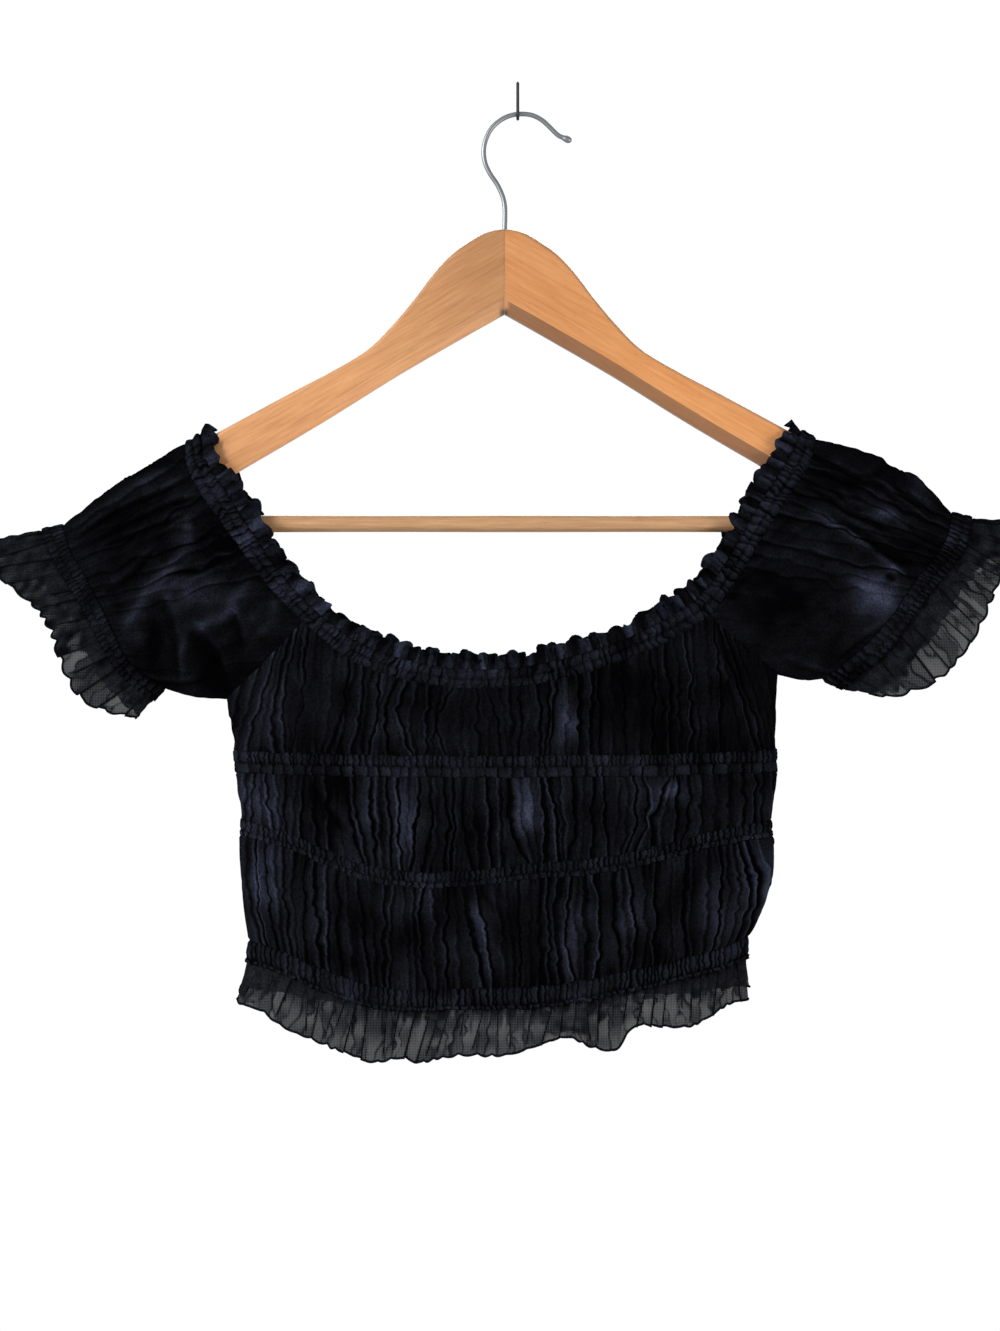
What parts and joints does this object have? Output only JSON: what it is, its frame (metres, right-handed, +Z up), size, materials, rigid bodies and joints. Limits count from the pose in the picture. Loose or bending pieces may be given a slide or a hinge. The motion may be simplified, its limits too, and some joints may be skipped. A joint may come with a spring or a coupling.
{
  "type": "off-shoulder top on a wooden hanger",
  "caption": "Short-sleeved gathered off-shoulder top hanging on a flat wooden hanger with a trouser bar and a small wall hook.",
  "frame": {"origin": "top end of the wall hook's shank, where it leaves the wall, which holds the whole part up", "axes": "+X along the hanger towards the wearer's left sleeve (the picture's right), front of the garment faces -Y, +Z up"},
  "size_m": [0.6014, 0.0579, 0.5695],
  "materials": {
    "gauze": "crinkled cotton gauze, very dark navy",
    "gauze_casing": "same gauze gathered over narrow elastic",
    "gauze_sheer": "single layer of the gauze, slightly see-through, rolled edge",
    "beech_left": "satin lacquered beech, tan",
    "beech_right": "satin lacquered beech, warmer",
    "beech_bar": "plain turned beech",
    "bright_steel": "bright plated steel wire",
    "dark_steel": "dark wire"
  },
  "bodies": {
    "root": {"front_upper": "gauze", "front_middle": "gauze", "front_lower": "gauze", "back_upper": "gauze", "back_middle": "gauze", "back_lower": "gauze", "sleeve_left": "gauze", "sleeve_right": "gauze", "neck_ruffle": "gauze", "neck_casing": "gauze_casing", "bust_casing_front": "gauze_casing", "bust_casing_back": "gauze_casing", "waist_casing_front": "gauze_casing", "waist_casing_back": "gauze_casing", "hem_casing_front": "gauze_casing", "hem_casing_back": "gauze_casing", "cuff_casing_left": "gauze_casing", "cuff_casing_right": "gauze_casing", "hem_ruffle_front": "gauze_sheer", "hem_ruffle_back": "gauze_sheer", "cuff_ruffle_left": "gauze_sheer", "cuff_ruffle_right": "gauze_sheer", "hanger_arm_left": "beech_left", "hanger_arm_right": "beech_right", "hanger_bar": "beech_bar", "hanger_hook": "bright_steel", "wall_hook": "dark_steel"}
  },
  "joints": []
}
